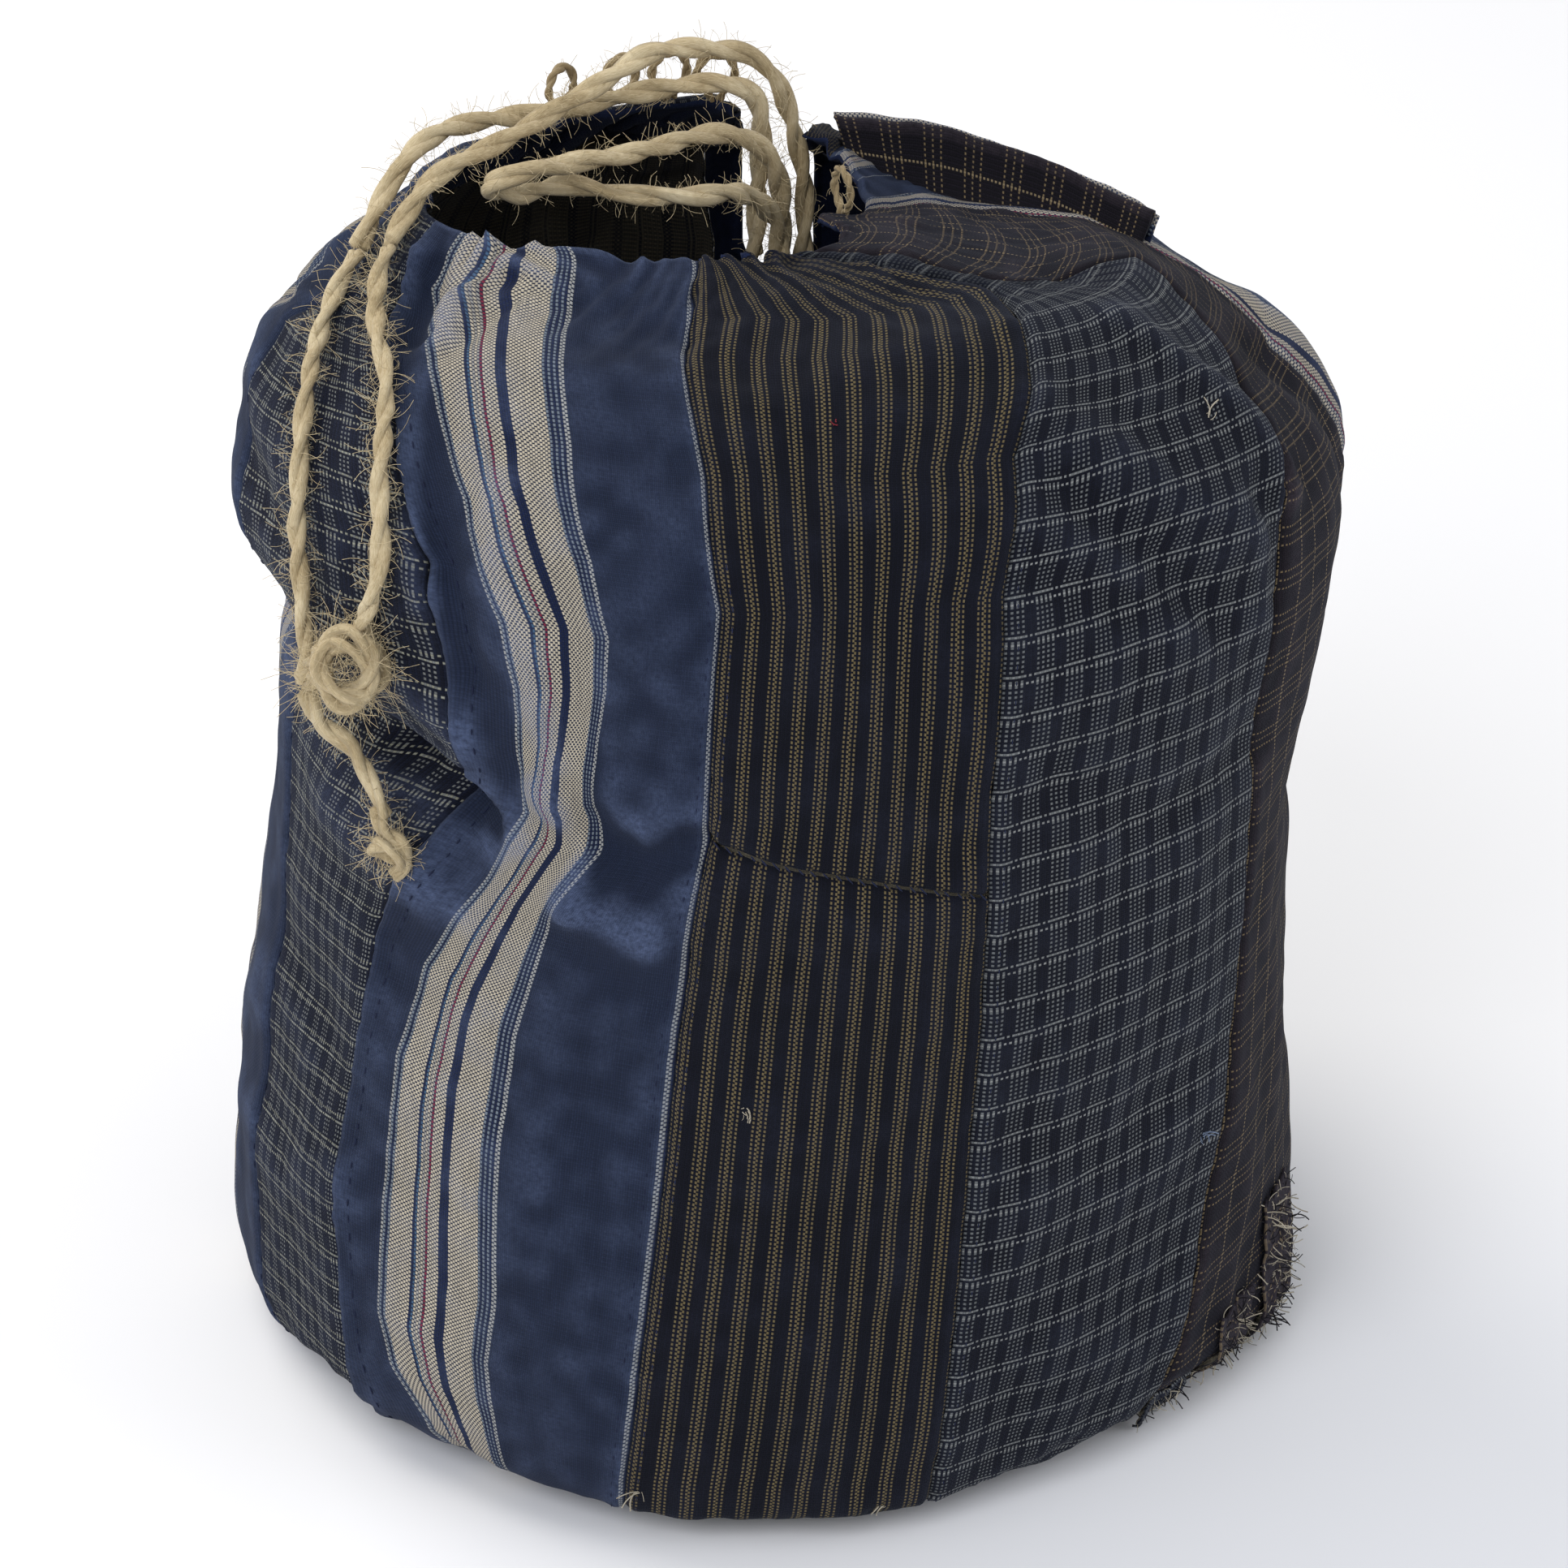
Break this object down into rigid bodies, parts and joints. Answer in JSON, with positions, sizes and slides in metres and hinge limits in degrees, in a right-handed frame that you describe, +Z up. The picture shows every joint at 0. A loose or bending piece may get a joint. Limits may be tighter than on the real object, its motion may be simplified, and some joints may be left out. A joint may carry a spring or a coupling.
{
  "type": "drawstring sack",
  "caption": "Full round drawstring sack pieced from striped and checked cotton, with a hemp rope drawn over its open mouth, a folding front lip and a loose collar flap.",
  "frame": {"origin": "centre of the round base cloth, on the surface that the sack stands on", "axes": "+Z up, out of the mouth; -Y towards the front, where the lip folds out; +X to the right of the front"},
  "size_m": [0.3398, 0.3363, 0.3963],
  "materials": {
    "indigo_stripe": "plain woven indigo cotton with cream, navy and fine red stripes, worn",
    "pinstripe": "near-black indigo cotton with fine tan stripes",
    "windowpane": "dark indigo cotton with a pale blue-white check",
    "slub_check": "dark indigo cotton with an uneven slubby off-white check",
    "plaid": "brown-black cotton with a fine tan plaid",
    "navy_cloth": "plain indigo cotton",
    "cotton_lining": "undyed plain woven cotton",
    "hemp_rope": "hand-laid hemp rope with loose fibres"
  },
  "bodies": {
    "sack": {"base_cloth": "navy_cloth", "base_lining": "cotton_lining", "panel_slub_check": "slub_check", "panel_indigo_stripe": "indigo_stripe", "panel_pinstripe_lower": "pinstripe", "panel_pinstripe_upper": "pinstripe", "panel_windowpane": "windowpane", "panel_plaid": "plaid", "panel_side_stripe": "indigo_stripe", "panel_back_pinstripe": "pinstripe", "panel_back_windowpane": "windowpane", "panel_left_stripe": "indigo_stripe", "wall_lining": "cotton_lining", "mouth_facing_left": "navy_cloth", "mouth_facing_right": "navy_cloth", "mouth_hem_left": "navy_cloth", "mouth_hem_right": "navy_cloth", "becket_loop_1": "hemp_rope", "becket_loop_2": "hemp_rope", "becket_loop_3": "hemp_rope", "becket_loop_4": "hemp_rope", "becket_loop_5": "hemp_rope", "drawstring_over_front": "hemp_rope", "drawstring_over_back": "hemp_rope", "hanging_strand_front": "hemp_rope", "hanging_strand_back": "hemp_rope", "drawstring_bight": "hemp_rope", "frayed_patch_front": "cotton_lining", "frayed_patch_middle": "cotton_lining", "frayed_patch_side": "cotton_lining"},
    "front_lip": {"lip_indigo_stripe": "indigo_stripe", "lip_pinstripe": "pinstripe", "lip_windowpane": "windowpane", "lip_plaid": "plaid", "lip_facing": "navy_cloth", "lip_hem": "navy_cloth"},
    "flap": {"flap_plaid": "plaid", "flap_backing": "cotton_lining", "flap_edge": "plaid"},
    "cord_end": {"drawstring_knot": "hemp_rope", "drawstring_tail": "hemp_rope", "drawstring_end_knot": "hemp_rope"}
  },
  "joints": [
    {"name": "mouth_open", "type": "hinge", "parent": "sack", "child": "front_lip", "pos_m": [0, -0.105, 0.345], "axis": [1, 0, 0], "range_deg": [0, 25]},
    {"name": "flap_fold", "type": "hinge", "parent": "sack", "child": "flap", "pos_m": [0.02, 0.05, 0.357], "axis": [0.9604, -0.1499, -0.2349], "range_deg": [0, 40]},
    {"name": "drawstring_pull", "type": "slide", "parent": "sack", "child": "cord_end", "axis": [-0.1898, -0.1598, 0.9687], "range_m": [0, 0.02], "deforming": ["hanging_strand_front", "hanging_strand_back"]}
  ],
  "couplings": [
    {"joint": "drawstring_pull", "follows": "mouth_open", "m_per_rad": 0.0458}
  ]
}
